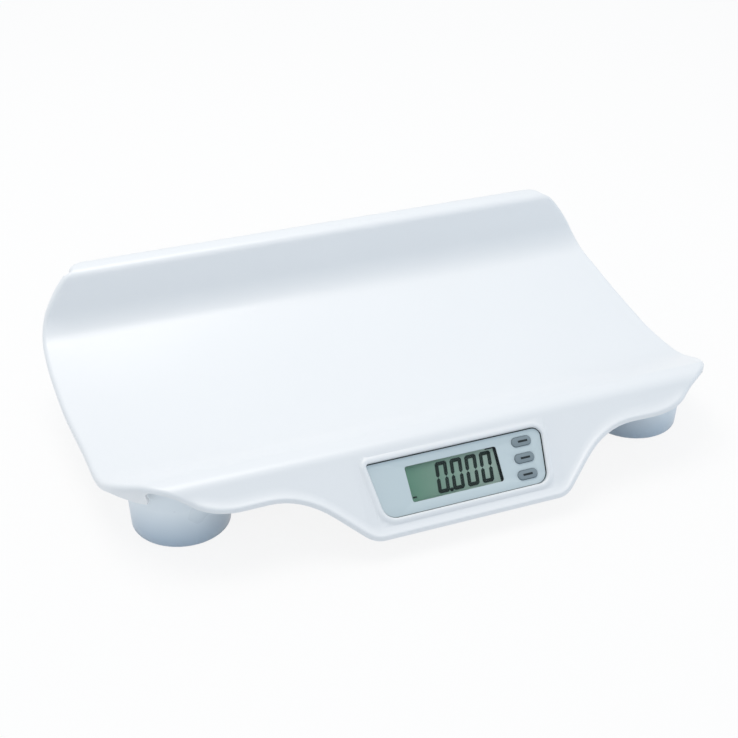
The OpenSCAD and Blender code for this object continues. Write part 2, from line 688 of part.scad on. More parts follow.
// Foot: a cup under the tray, with a rounded lower edge and a diaphragm inside
foot_lip = pad_r + 2;
module foot_cup(at) {
    round_r = 3;
    color("whitesmoke") intersection() {
        translate([at[0], at[1], 0]) difference() {
            rotate_extrude() polygon(concat(
                [[0, diaphragm_z], [foot_r - foot_wall, diaphragm_z],
                    [foot_r - foot_wall, foot_clear + foot_wall], [foot_lip, foot_clear + foot_wall],
                    [foot_lip, foot_clear]],
                [for (i = [0:5]) let (a = -90 + 15 * i)
                    [foot_r - round_r + round_r * cos(a), foot_clear + round_r + round_r * sin(a)]],
                [[foot_top_r, crest_z], [foot_top_r - foot_wall, crest_z],
                    [foot_r - foot_wall, diaphragm_z + diaphragm_t],
                    [0, diaphragm_z + diaphragm_t]]));
            for (a = foot_screw_turns)
                translate([foot_screw_r * cos(a), foot_screw_r * sin(a), diaphragm_z - 1])
                    cylinder(h = diaphragm_t + 2, r = screw_r + 0.2);
            translate([-sign(at[0]) * lead_in, 0, diaphragm_z - 1])
                cylinder(h = diaphragm_t + 2, r = lead_hole_r);
            translate([-sign(at[0]) * foot_r, 0, lead_z]) rotate([0, 90, 0])
                cylinder(h = 16, r = lead_hole_r, center = true);
        }
        under_tray(tray_wall + seat_gap);
    }
}
// Leads leave a foot through its diaphragm and then through its wall
lead_in = 22;
lead_z = 27;
lead_r = 1;
lead_hole_r = 1.8;

plate_z = pad_t + 2.5;
cell_bottom = plate_z + 2;
holder_lip = 2;
module load_cell_holder(at) {
    outer = cell_side + 2 * holder_lip;
    color("dimgray") translate([at[0], at[1], 0]) difference() {
        translate([0, 0, cell_bottom + 0.6]) linear_extrude(diaphragm_z - cell_bottom - 0.6)
            plate(outer, outer, 3);
        translate([0, 0, cell_bottom - 1]) linear_extrude(cell_t + 1)
            plate(cell_side + 2 * seat_gap, cell_side + 2 * seat_gap, 2);
        translate([0, 0, cell_bottom - 1]) linear_extrude(diaphragm_z)
            plate(cell_side - 8, cell_side - 8, 3);
    }
}
// Load cell: a square of steel cut so that its middle tongue bends against its frame
slot_w = 1.6;
module load_cell(at) {
    tongue_w = 14;
    arm = 4;
    color("silver") translate([at[0], at[1], cell_bottom]) linear_extrude(cell_t) difference() {
        plate(cell_side, cell_side, 2);
        for (side = [-1, 1]) {
            translate([side * (tongue_w / 2 + slot_w / 2), arm / 2])
                square([slot_w, cell_side - 2 * arm - slot_w], center = true);
            translate([side * (cell_side / 2 - arm - slot_w / 2), 0])
                square([slot_w, cell_side - 3 * arm], center = true);
        }
        translate([0, -cell_side / 2 + arm + slot_w / 2])
            square([tongue_w + 2 * slot_w, slot_w], center = true);
    }
}
module foot_plate(at) {
    color("silver") translate([at[0], at[1], 0]) rotate_extrude() polygon([
        [0, pad_t], [pad_r + 1, pad_t], [pad_r + 1, plate_z - 1], [pad_r, plate_z], [5, plate_z],
        [5, cell_bottom], [0, cell_bottom]]);
}
module foot_pad(at) {
    color("dimgray") translate([at[0], at[1], 0]) rotate_extrude() polygon([
        [0, 0], [pad_r - 0.8, 0], [pad_r, 0.8], [pad_r, pad_t], [0, pad_t]]);
}

// Display panel: the flush plate with a window, three key holes and four bosses behind it
board_gap = 7.8;
board_t = 1.6;
board_d = panel_t + board_gap;
boss_at = [[-56, 15], [-56, -15], [43.6, 15], [43.6, -15]];
boss_r = 2.2;
lens_lip = 1.5;
window_u = -window_left;
window_v = 0.2;
module at_keys() {
    for (i = [-1:1]) translate([key_right - i, window_v - i * key_pitch, 0]) children();
}
module display_panel() {
    color("lightsteelblue") on_panel() difference() {
        union() {
            panel_solid(0, -panel_t, 0);
            for (at = boss_at) translate([at[0], at[1], -board_d]) cylinder(h = board_gap, r = boss_r);
        }
        translate([window_u, window_v, -panel_t - 1]) linear_extrude(panel_t + 2)
            plate(window_w, window_h, 2);
        translate([0, 0, -panel_t - 1]) linear_extrude(panel_t + 2)
            at_keys() oval(key_w + 2 * slide_gap, key_h + 2 * slide_gap);
        for (at = boss_at) translate([at[0], at[1], -board_d - 1]) cylinder(h = 6, r = 0.9);
    }
}
lens_flange = 1;
module lcd_lens() {
    color([0.75, 0.8, 0.8, 0.4]) on_panel() translate([window_u, window_v, -panel_t]) {
        linear_extrude(panel_t - 0.3)
            plate(window_w - 2 * seat_gap, window_h - 2 * seat_gap, 2);
        translate([0, 0, -lens_flange]) linear_extrude(lens_flange)
            plate(window_w + 2 * lens_lip, window_h + 2 * lens_lip, 2);
    }
}
glass_t = 2.8;
glass_w = window_w + 7.5;
glass_h = window_h + 4;
glass_d = panel_t + lens_flange + 0.2;
module lcd_glass() {
    color("darkseagreen") on_panel() translate([window_u, window_v, -glass_d - glass_t]) {
        linear_extrude(glass_t) square([glass_w, glass_h], center = true);
    }
}
module lcd_holder() {
    color("white") on_panel() translate([window_u, window_v, -board_d])
        linear_extrude(board_gap) difference() {
            square([glass_w + 4, glass_h + 4], center = true);
            square([glass_w + 2 * slide_gap, glass_h + 2 * slide_gap], center = true);
        }
}
module lcd_connector() {
    l = board_d - glass_d - glass_t;
    color("dimgray") on_panel() for (side = [-1, 1])
        translate([window_u, window_v + side * (glass_h / 2 - 2), -board_d + l / 2])
            cube([glass_w - 4, 2.2, l], center = true);
}
board_w = 124;
board_h = 38;
board_u = 3.5;
module main_board() {
    color("darkgreen") on_panel() translate([0, 0, -board_d - board_t]) linear_extrude(board_t)
        difference() {
            translate([board_u, 0]) plate(board_w, board_h, 2);
            for (at = boss_at) translate(at) circle(1.2);
        }
}
module board_chips() {
    top = -board_d - board_t;
    color("black") on_panel() {
        translate([8, 4, top - 1.4]) cylinder(h = 1.4, r1 = 5.5, r2 = 7);
        for (i = [0:2]) translate([26, 10 - 7 * i, top - 0.9]) cube([7, 4, 1.8], center = true);
        translate([-16, 6, top - 1.7]) cube([10, 4, 3.4], center = true);
        translate([-12, -6, top - 2.5]) cube([8, 5, 5], center = true);
    }
}
module board_screws() {
    color("silver") on_panel() for (at = boss_at)
        translate([at[0], at[1], -board_d - board_t - 1.4]) {
            cylinder(h = 1.4, r = 2);
            cylinder(h = 1.4 + board_t + 4, r = 0.8);
        }
}
key_foot_d = board_d - 5.2;
switch_top_d = key_foot_d + key_travel + 0.05;
module tact_switches() {
    color("black") on_panel() at_keys() {
        translate([0, 0, -board_d]) linear_extrude(3.1) square([6, 6], center = true);
        translate([0, 0, -board_d]) cylinder(h = board_d - switch_top_d, r = 1.7);
    }
}
// A key: an oval top that stands proud of the panel, a flange behind it and a stem
module key(i) {
    flange_d = panel_t + slide_gap;
    color("slategray") on_panel() translate([key_right - i, window_v - i * key_pitch, 0]) {
        translate([0, 0, -flange_d - 1]) linear_extrude(flange_d + 1 + key_proud - 0.5)
            oval(key_w, key_h);
        translate([0, 0, key_proud - 0.5]) linear_extrude(0.5) oval(key_w - 0.8, key_h - 0.8);
        translate([0, 0, -flange_d - 1]) linear_extrude(1) oval(key_w + 1.6, key_h + 1.6);
        translate([0, 0, -key_foot_d]) cylinder(h = key_foot_d - flange_d, r = 2.5);
    }
}
module power_key() { key(-1); }
module zero_key() { key(0); }
module hold_key() { key(1); }

module buzzer() {
    color("black") on_panel() translate([-40, 4, -board_d - board_t - 5.5]) difference() {
        cylinder(h = 5.5, r = 6);
        translate([0, 0, -1]) cylinder(h = 2, r = 1);
    }
}

// Leads: their points are chosen by hand
sensor_end = [[-30, -141, 33], [30, -141, 33], [-24, -141, 33], [24, -141, 33]];
function sensor_path(i) =
    let (at = foot_at[i], s = sign(at[0]), x = at[0] - s * lead_in, wall_x = at[0] - s * (foot_r + 8))
    [[x, at[1], 9], [x, at[1], 14], [x, at[1], 21], [x - s * 2, at[1], 25], [x - s * 7, at[1], lead_z],
        [wall_x, at[1], lead_z], [wall_x - s * 14, at[1], 25 - i % 2],
        [s * (110 - 4 * i), -50 + 2 * i, 25 + i], [s * (70 - 4 * i), -96, 25 + i],
        [s * (44 - 4 * i), -124, 28 + i], sensor_end[i]];
module sensor_leads() {
    color("gray") for (i = [0:3]) tube(sensor_path(i), lead_r, 6);
}
battery_path = [[-bay_w / 2 - 3.1, bay_front_y + 10, bay_roof_z - 3.5], [-44, 40, 33], [-40, 0, 30],
    [-20, -60, 32], [-6, -110, 34], [-6, -138, 34]];
module battery_leads() {
    color("red") tube(battery_path, lead_r, 6);
}

tray_shell();
base_cover();
case_screws();
foot_screws();
foot_cup(foot_at[0]);  // foot_cup_fl
foot_cup(foot_at[1]);  // foot_cup_fr
foot_cup(foot_at[2]);  // foot_cup_bl
foot_cup(foot_at[3]);  // foot_cup_br
load_cell_holder(foot_at[0]);  // load_cell_holder_fl
load_cell_holder(foot_at[1]);  // load_cell_holder_fr
load_cell_holder(foot_at[2]);  // load_cell_holder_bl
load_cell_holder(foot_at[3]);  // load_cell_holder_br
load_cell(foot_at[0]);  // load_cell_fl
load_cell(foot_at[1]);  // load_cell_fr
load_cell(foot_at[2]);  // load_cell_bl
load_cell(foot_at[3]);  // load_cell_br
foot_plate(foot_at[0]);  // foot_plate_fl
foot_plate(foot_at[1]);  // foot_plate_fr
foot_plate(foot_at[2]);  // foot_plate_bl
foot_plate(foot_at[3]);  // foot_plate_br
foot_pad(foot_at[0]);  // foot_pad_fl
foot_pad(foot_at[1]);  // foot_pad_fr
foot_pad(foot_at[2]);  // foot_pad_bl
foot_pad(foot_at[3]);  // foot_pad_br
display_panel();
lcd_lens();
lcd_glass();
lcd_holder();
lcd_connector();
main_board();
board_chips();
board_screws();
tact_switches();
buzzer();
power_key();
zero_key();
hold_key();
battery_door();
battery_cells();
battery_springs();
battery_contacts();
sensor_leads();
battery_leads();
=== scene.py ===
# %% [markdown]
# # A digital baby scale, dressed for its picture
#
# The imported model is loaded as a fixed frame: its pieces have their real size and place, and
# nothing here moves them. What this file adds is looks: smooth surfaces, finishes, the segments
# on the display, light and a camera. All lengths are metres, as in the frame.
# %% Load the frame
import json
import math

import bpy
from mathutils import Matrix, Vector

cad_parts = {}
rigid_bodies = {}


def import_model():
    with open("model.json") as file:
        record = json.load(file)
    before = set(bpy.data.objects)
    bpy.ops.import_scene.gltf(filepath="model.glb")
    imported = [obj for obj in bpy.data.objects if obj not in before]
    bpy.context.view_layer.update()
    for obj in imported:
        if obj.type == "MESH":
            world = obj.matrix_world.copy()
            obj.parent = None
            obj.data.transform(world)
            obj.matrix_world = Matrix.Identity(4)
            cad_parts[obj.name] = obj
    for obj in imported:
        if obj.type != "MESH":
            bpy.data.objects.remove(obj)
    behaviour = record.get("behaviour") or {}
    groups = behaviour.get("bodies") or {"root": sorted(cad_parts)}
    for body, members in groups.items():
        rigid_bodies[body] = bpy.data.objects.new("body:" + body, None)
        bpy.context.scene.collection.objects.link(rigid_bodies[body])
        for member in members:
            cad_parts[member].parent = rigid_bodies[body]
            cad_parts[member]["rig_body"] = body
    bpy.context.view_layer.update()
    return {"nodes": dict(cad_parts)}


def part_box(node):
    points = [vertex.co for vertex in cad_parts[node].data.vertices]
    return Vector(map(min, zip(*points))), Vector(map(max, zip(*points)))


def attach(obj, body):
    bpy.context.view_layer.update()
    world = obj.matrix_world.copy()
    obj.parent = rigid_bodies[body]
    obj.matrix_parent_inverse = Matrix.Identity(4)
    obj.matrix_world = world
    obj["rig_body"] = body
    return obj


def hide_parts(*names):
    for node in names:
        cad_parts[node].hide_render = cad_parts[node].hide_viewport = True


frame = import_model()
nodes = frame["nodes"]
mm = 0.001

# %% [markdown]
# ## The camera
#
# The photograph was matched: where the camera stands, how far it is rolled and how long its lens
# is. The camera looks at a point above the middle of the tray, from the front left and from about
# thirty degrees above. A small shift places the object in the frame without turning the view, so
# verticals keep their slant.
# %% Camera
camera_turn = math.radians(-23.317)
camera_height = math.radians(30.610)
camera_roll = math.radians(0.899)
camera_distance = 1.28321
camera_aim = Vector((0, 8.25 * mm, 50 * mm))
photo_side = 738
focal_pixels = 1448.03
shift_pixels = (-13.606, 0.792)

back = Vector((
    math.sin(camera_turn) * math.cos(camera_height),
    -math.cos(camera_turn) * math.cos(camera_height),
    math.sin(camera_height)))
level = Vector((math.cos(camera_turn), math.sin(camera_turn), 0))
upright = back.cross(level)
right = level * math.cos(camera_roll) + upright * math.sin(camera_roll)
up = upright * math.cos(camera_roll) - level * math.sin(camera_roll)

camera = bpy.data.objects.new("camera", bpy.data.cameras.new("camera"))
bpy.context.scene.collection.objects.link(camera)
turned = Matrix((right, up, back)).transposed().to_4x4()
camera.matrix_world = Matrix.Translation(camera_aim + back * camera_distance) @ turned
camera.data.sensor_width = 36
camera.data.lens = focal_pixels * camera.data.sensor_width / photo_side
camera.data.shift_x = shift_pixels[0] / photo_side
camera.data.shift_y = shift_pixels[1] / photo_side
camera.data.clip_end = 20
bpy.context.scene.camera = camera
print("the lens is", round(camera.data.lens, 1), "mm long")

# %% [markdown]
# ## Working on one piece at a time
#
# Blender's operators act on all that is selected, and the frame arrives selected. So each step
# starts by selecting one object and nothing else. A piece that is made here is moved and turned
# as an object first. Then that is applied to its mesh, so that every piece sits at the origin.
# %% Selecting, adding and settling
def take(piece):
    bpy.ops.object.select_all(action="DESELECT")
    piece.select_set(True)
    bpy.context.view_layer.objects.active = piece
    return piece


def edit(piece):
    take(piece)
    bpy.ops.object.mode_set(mode="EDIT")
    bpy.ops.mesh.select_all(action="SELECT")


def done():
    bpy.ops.object.mode_set(mode="OBJECT")


def add(primitive, name, **options):
    bpy.ops.object.select_all(action="DESELECT")
    primitive(**options)
    piece = bpy.context.object
    piece.name = name
    return piece


def settle(piece):
    take(piece)
    bpy.ops.object.transform_apply(location=True, rotation=True, scale=True)
    return piece


def block(name, size):
    piece = add(bpy.ops.mesh.primitive_cube_add, name, size=1)
    piece.scale = size
    return settle(piece)


# %% [markdown]
# ## Moulded surfaces
#
# A node of the frame is a bag of loose triangles, so it shades as flat facets. A copy of it whose
# corners are merged can be shaded smooth wherever two faces meet at a small angle. The copy then
# stands for the node, and keeps its exact outline. A narrow bevel on the sharp edges that are
# left gives the light line that every moulded edge shows.
# %% A smooth copy of a node
merge_distance = 0.002 * mm
bevel_angle = math.radians(50)


def dress(node, smooth_degrees=30, edge=0.0):
    source = nodes[node]
    piece = bpy.data.objects.new(node + "_dressed", source.data.copy())
    bpy.context.scene.collection.objects.link(piece)
    edit(piece)
    bpy.ops.mesh.remove_doubles(threshold=merge_distance)
    bpy.ops.mesh.tris_convert_to_quads(
        face_threshold=math.radians(1), shape_threshold=math.radians(180))
    done()
    if edge:
        bevel = piece.modifiers.new("edge", "BEVEL")
        bevel.width = edge
        bevel.segments = 2
        bevel.limit_method = "ANGLE"
        bevel.angle_limit = bevel_angle
        bpy.ops.object.modifier_apply(modifier="edge")
    bpy.ops.object.shade_smooth_by_angle(angle=math.radians(smooth_degrees))
    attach(piece, source["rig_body"])
    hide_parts(node)
    return piece


# %% [markdown]
# Where a broad face meets fine ones, smooth shading bends the light far across the broad one.
# Weighted normals let the broad face decide how the shared corners shade, so a flat wall stays
# flat to the eye. A vertex group can keep that to one place.
# %% Weighted normals
def weigh_normals(piece, group=""):
    take(piece)
    weights = piece.modifiers.new("weights", "WEIGHTED_NORMAL")
    weights.keep_sharp = True
    weights.vertex_group = group
    bpy.ops.object.modifier_apply(modifier="weights")


# %% [markdown]
# ## Finishes
#
# Moulded plastic isn't one flat colour. Its surface has a faint texture from the mould and its
# gloss wanders a little. Both come from noise on Object coordinates: every piece's object sits at
# the origin, so the pattern is in real size and stays put when a piece is copied.
#
# A material is a small graph. The helper below adds one node to it: settings such as an operation
# come first, because they decide which inputs the node has, and then the inputs get their values.
# %% A plastic finish
wander_scale = 14
grain_depth = 0.02 * mm
least_roughness = 0.02


def new_node(tree, kind, values=(), **settings):
    made = tree.nodes.new("ShaderNode" + kind)
    for setting, choice in settings.items():
        setattr(made, setting, choice)
    for socket, value in dict(values).items():
        made.inputs[socket].default_value = value
    return made


def new_material(name):
    material = bpy.data.materials.new(name)
    material.use_nodes = True
    tree = material.node_tree
    return material, tree, tree.nodes["Principled BSDF"]


def plastic(name, colour, roughness, grain=0.3, grain_size=0.6 * mm, drift=0.03):
    material, tree, shader = new_material(name)
    link = tree.links.new
    place = new_node(tree, "TexCoord")
    wander = new_node(tree, "TexNoise", {"Scale": wander_scale, "Detail": 3})
    link(place.outputs["Object"], wander.inputs["Vector"])
    gloss = new_node(tree, "MapRange", {
        "To Min": max(least_roughness, roughness - 2 * drift),
        "To Max": min(1, roughness + 2 * drift)})
    link(wander.outputs["Fac"], gloss.inputs["Value"])
    link(gloss.outputs["Result"], shader.inputs["Roughness"])
    tint = new_node(tree, "Mix", {
        "A": (*[c * (1 - drift / 2) for c in colour], 1),
        "B": (*[min(1, c * (1 + drift / 2)) for c in colour], 1)}, data_type="RGBA")
    link(wander.outputs["Fac"], tint.inputs["Factor"])
    link(tint.outputs["Result"], shader.inputs["Base Color"])
    fine = new_node(tree, "TexNoise", {"Scale": 1 / grain_size, "Detail": 2})
    link(place.outputs["Object"], fine.inputs["Vector"])
    bump = new_node(tree, "Bump", {"Strength": grain, "Distance": grain_depth})
    link(fine.outputs["Fac"], bump.inputs["Height"])
    link(bump.outputs["Normal"], shader.inputs["Normal"])
    return material


def metal(name, colour, roughness):
    material = plastic(name, colour, roughness, 0.4, 0.25 * mm, 0.04)
    material.node_tree.nodes["Principled BSDF"].inputs["Metallic"].default_value = 1
    return material


def finish(piece, material):
    piece.data.materials.clear()
    piece.data.materials.append(material)


white = plastic("white_moulding", (0.85, 0.865, 0.88), 0.34, 0.15, drift=0.01)
base_grey = plastic("base_moulding", (0.66, 0.69, 0.73), 0.5, 0.5)
panel_film = plastic("panel_film", (0.59, 0.68, 0.71), 0.45, 0.3, 0.3 * mm)
key_grey = plastic("key_moulding", (0.23, 0.285, 0.315), 0.5, 0.4)
black = plastic("black_moulding", (0.02, 0.021, 0.023), 0.5, 0.3)
rubber = plastic("rubber", (0.03, 0.03, 0.032), 0.8, 0.6)
steel = metal("zinc_steel", (0.60, 0.61, 0.63), 0.35)
nickel = metal("nickel", (0.68, 0.67, 0.64), 0.25)
board = plastic("board_resist", (0.01, 0.09, 0.04), 0.3, 0.3)
jacket = plastic("cell_jacket", (0.42, 0.24, 0.04), 0.25, 0.1)
grey_wire = plastic("grey_wire", (0.16, 0.17, 0.18), 0.45, 0.2)
red_wire = plastic("red_wire", (0.45, 0.01, 0.01), 0.4, 0.2)


# %% [markdown]
# Painted shade: some finishes get shade painted in, deepening from one side to the other. The
# tint of a plastic then follows one axis of the Object coordinates in place of the noise: its two
# ends are colours, and a map range says where each of them is reached.
# %% Painted shade along an axis
def painted_shade_ramp(name, start_colour, end_colour, axis, start, end, roughness):
    material = plastic(name, end_colour, roughness, 0.05)
    tree = material.node_tree
    place, tint = tree.nodes["Texture Coordinate"], tree.nodes["Mix"]
    split = new_node(tree, "SeparateXYZ")
    tree.links.new(place.outputs["Object"], split.inputs["Vector"])
    span = new_node(tree, "MapRange", {"From Min": start, "From Max": end})
    tree.links.new(split.outputs[axis], span.inputs["Value"])
    tint.inputs["A"].default_value = (*start_colour, 1)
    tint.inputs["B"].default_value = (*end_colour, 1)
    tree.links.new(span.outputs["Result"], tint.inputs["Factor"])
    return material


# %% [markdown]
# ## The tray
#
# One injection moulding makes the whole top: the trough where the baby lies, the back wall, the
# crest, the apron and the lobe with the display's pocket. It is the model's own shell, smoothed.
# %% Tray
tray = dress("tray_shell", 32)
finish(tray, white)
print("the tray has", len(tray.data.polygons), "faces")

# %% [markdown]
# At the two front corners the turned-down lip is deepest. There it draws in towards the foot
# below it, the deeper the more, so that from the front only its upper part shows.
# %% The lip draws in at the front corners
corner_x, corner_front_y = 225 * mm, -128 * mm
rise_start_y, rise_start_z = -60 * mm, 43.7 * mm
rise_slope = math.tan(math.radians(26))
crest_z = 72 * mm
lip_depth = 8 * mm
draw_in = 0.8
for corner in tray.data.vertices:
    x, y, z = corner.co
    if abs(x) > corner_x and corner_front_y < y < rise_start_y:
        surface = min(crest_z, rise_start_z + rise_slope * (rise_start_y - y))
        below = max(0, surface - lip_depth - z)
        corner.co.x -= math.copysign(draw_in * below, x)

# %% [markdown]
# Round the display's pocket, broad faces meet the fine ones of the bead, and a dark streak would
# run along it. The corners there get weighted normals. The crest and the rim stay soft.
# %% Shading round the pocket
pocket_half_width, pocket_back_y, pocket_low_z = 88 * mm, -132 * mm, 22 * mm
pocket = tray.vertex_groups.new(name="pocket")
round_pocket = [
    corner.index for corner in tray.data.vertices
    if abs(corner.co.x) < pocket_half_width
    and corner.co.y < pocket_back_y and corner.co.z > pocket_low_z]
pocket.add(round_pocket, 1, "REPLACE")
weigh_normals(tray, "pocket")
print("weighted corners:", len(round_pocket))

# %% [markdown]
# ## Feet and underside
#
# The feet are cups of the same family of plastic, with painted shade that makes them greyer and
# deeper towards the floor, where the tray shades them, and rubber pads below. The base cover has
# the coarser texture of a part that nobody sees. It and the battery door are broad and flat, so
# their normals are weighted all over.
# %% Feet, base and door
# Painted shade: the feet's tint darkens and turns bluer towards the floor, under the tray.
pale = painted_shade_ramp(
    "foot_moulding_painted_shade", (0.50, 0.60, 0.70), (0.84, 0.90, 0.94), "Z", 4 * mm, 36 * mm, 0.3)
for foot in ("fl", "fr", "bl", "br"):
    finish(dress("foot_cup_" + foot, 35), pale)
    finish(dress("foot_pad_" + foot, 35), rubber)
    finish(dress("foot_plate_" + foot, 35), steel)
    finish(nodes["load_cell_" + foot], steel)
    finish(nodes["load_cell_holder_" + foot], black)
for cover in (dress("base_cover", 30), dress("battery_door", 30, 0.3 * mm)):
    weigh_normals(cover)
    finish(cover, base_grey)

# %% [markdown]
# ## The display
#
# The display lies on a slope. A small frame of its own makes it easy to place things there: u
# runs to the right, v up the slope and lift out of the glass. Its origin is the middle of the
# glass, which the frame knows.
# %% The display's own directions
slope = math.radians(48)
glass_thickness = 2.8 * mm
above_glass = 0.05 * mm
panel_lift = 3.2 * mm
panel_up = Vector((0, math.cos(slope), math.sin(slope)))
panel_out = Vector((0, -math.sin(slope), math.cos(slope)))
low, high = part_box("lcd_glass")
glass_middle = (low + high) / 2 + panel_out * glass_thickness / 2
tilt = Matrix((Vector((1, 0, 0)), panel_up, panel_out)).transposed().to_4x4()


def lay_on_glass(piece, u, v, lift):
    """Puts a flat piece, modelled about the origin, on the display's slope."""
    piece.matrix_world = Matrix.Translation(
        glass_middle + Vector((u, 0, 0)) + panel_up * v + panel_out * lift) @ tilt
    settle(piece)


# %% [markdown]
# The liquid crystal is green grey, with painted shade that deepens it to the left, where less
# light comes back.
# %% Liquid crystal finish, with painted shade
lcd_green = painted_shade_ramp(
    "liquid_crystal_painted_shade", (0.17, 0.35, 0.25), (0.43, 0.55, 0.48), "X", -46 * mm, 24 * mm, 0.35)
ink = plastic("segment_ink", (0.006, 0.02, 0.014), 0.5, 0.05)
finish(dress("lcd_glass", 30), lcd_green)
finish(dress("display_panel", 30, 0.35 * mm), panel_film)


# %% [markdown]
# The window is a clear moulding. Thin clear plastic mostly lets the eye through and mirrors a
# little, which is what a transmission of one with a low roughness gives.
# %% Window
def clear(name):
    material, _, shader = new_material(name)
    shader.inputs["Base Color"].default_value = (0.97, 0.99, 0.98, 1)
    shader.inputs["Roughness"].default_value = 0.06
    shader.inputs["Transmission Weight"].default_value = 1
    shader.inputs["IOR"].default_value = 1.15
    return material


finish(dress("lcd_lens", 30, 0.25 * mm), clear("clear_window"))

# %% [markdown]
# ## Digits
#
# A figure on such a display is made of seven bars with pointed ends. One bar is modelled as a
# thin six-sided slab, and each figure takes copies of it. All show nought, as on an empty scale,
# so the middle bar stays off. The figures lean a little to the right.
# %% One bar
digit_height = 25 * mm
digit_width = 10.3 * mm
digit_pitch = 13.05 * mm
digit_lean = 0.118
bar_width = 3.1 * mm
bar_thickness = 0.12 * mm
bar_gap = 0.35 * mm
bar_taper = 0.12


def bar(name, length):
    piece = block(name, (length - bar_width, bar_width, bar_thickness))
    bpy.ops.object.mode_set(mode="EDIT")
    for side in (-1, 1):
        bpy.ops.mesh.select_all(action="DESELECT")
        done()
        for face in piece.data.polygons:
            face.select = side * face.normal.x > 0.5
        bpy.ops.object.mode_set(mode="EDIT")
        bpy.ops.mesh.extrude_region_move(
            TRANSFORM_OT_translate={"value": (side * bar_width / 2, 0, 0)})
        bpy.ops.transform.resize(value=(1, bar_taper, 1))
    done()
    return piece


def copy_of(piece, name):
    twin = piece.copy()
    twin.data = piece.data.copy()
    twin.name = name
    bpy.context.scene.collection.objects.link(twin)
    return twin


# %% Four noughts and a point
digit_count = 4
digit_right = 34.35 * mm
digit_mid_v = 0.1 * mm
point_radius = 1.6 * mm
point_rise = 1.2 * mm
point_pitches = 2.5
side_reach = digit_width / 2 - bar_width / 2
end_reach = digit_height / 2 - bar_width / 2

upright_bar = bar("upright_bar", digit_height / 2 - bar_gap)
level_bar = bar("level_bar", digit_width - bar_gap)
quarter_turn = Matrix.Rotation(math.pi / 2, 4, "Z")
placed = []
for figure in range(digit_count):
    middle = digit_right - digit_width / 2 - (digit_count - 1 - figure) * digit_pitch
    for side in (-1, 1):
        for half in (-1, 1):
            stroke = copy_of(upright_bar, "stroke")
            stroke.matrix_world = Matrix.Translation(
                (middle + side * side_reach, half * digit_height / 4, 0)) @ quarter_turn
            placed.append(stroke)
        stroke = copy_of(level_bar, "stroke")
        stroke.matrix_world = Matrix.Translation((middle, side * end_reach, 0))
        placed.append(stroke)
point = add(
    bpy.ops.mesh.primitive_cylinder_add, "point",
    vertices=16, radius=point_radius, depth=bar_thickness)
point.location = (
    digit_right - point_pitches * digit_pitch - digit_width / 2,
    point_rise - digit_height / 2, 0)
placed.append(point)
for stroke in placed:
    settle(stroke)
bpy.ops.object.select_all(action="DESELECT")
for stroke in placed:
    stroke.select_set(True)
bpy.context.view_layer.objects.active = placed[0]
bpy.ops.object.join()
digits = bpy.context.object
digits.name = "digits"
for corner in digits.data.vertices:
    corner.co.x += corner.co.y * digit_lean
lay_on_glass(digits, 0, digit_mid_v, bar_thickness / 2 + above_glass)
finish(digits, ink)
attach(digits, "root")
for left_over in (upright_bar, level_bar):
    bpy.data.objects.remove(left_over)
print("the figures are", round(digit_height / mm), "mm high")

# %% [markdown]
# ## Dark trim and painted shadow
#
# Three dark things sit on the display: painted shadow at the window's right and upper edge, where
# the recess shades the crystal, a small bar in the corner of the crystal, and the joint line
# round the panel, with painted shadow that makes it widest at the top and on the right. A slab is
# a cube, sized in its own directions and then laid down.
# %% Slabs on the display
trim_and_painted_shadow = plastic("dark_trim_and_painted_shadow", (0.012, 0.02, 0.022), 0.5, 0.1)
slab_thickness = 0.1 * mm
slab_edge = 0.03 * mm


def slab(name, width, height, u, v, lift):
    piece = block(name, (width, height, slab_thickness))
    edit(piece)
    bpy.ops.mesh.bevel(offset=slab_edge, segments=1)
    done()
    lay_on_glass(piece, u, v, lift + slab_thickness / 2)
    finish(piece, trim_and_painted_shadow)
    return piece


# The first two slabs are painted shadow, dark where the window's recess shades the crystal.
for name, width, height, u, v in (
        ("painted_shadow_side", 4 * mm, 29.6 * mm, 40.4 * mm, 0),
        ("painted_shadow_top", 9 * mm, 1.4 * mm, 36 * mm, 14.1 * mm),
        ("corner_bar", 3.4 * mm, 1.3 * mm, -36.8 * mm, -10.6 * mm)):
    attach(slab(name, width, height, u, v, above_glass), "root")

# %% [markdown]
# The joint line is a ring: a dark joint, with painted shadow along it. A plane gets the panel's
# four corners, each corner is rounded by a bevel of its own, an inset makes the ring's inner
# edge, and moving that edge a little down and to the left makes the ring wider at the top and on
# the
# right: that widening is painted shadow, where the recess shades the panel. For each corner of
# the plane, the table below gives its place and its radius in millimetres, from the middle of the
# panel.
# %% The joint line and its painted shadow round the panel
panel_u, panel_v = 5.8 * mm, -0.2 * mm
joint_corners = {
    (-1, 1): (-77.4, 22.9, 2.5), (-1, -1): (-71.4, -22.9, 10.6),
    (1, -1): (71.4, -22.9, 8.8), (1, 1): (77.4, 22.9, 8)}
joint_width = 0.58 * mm
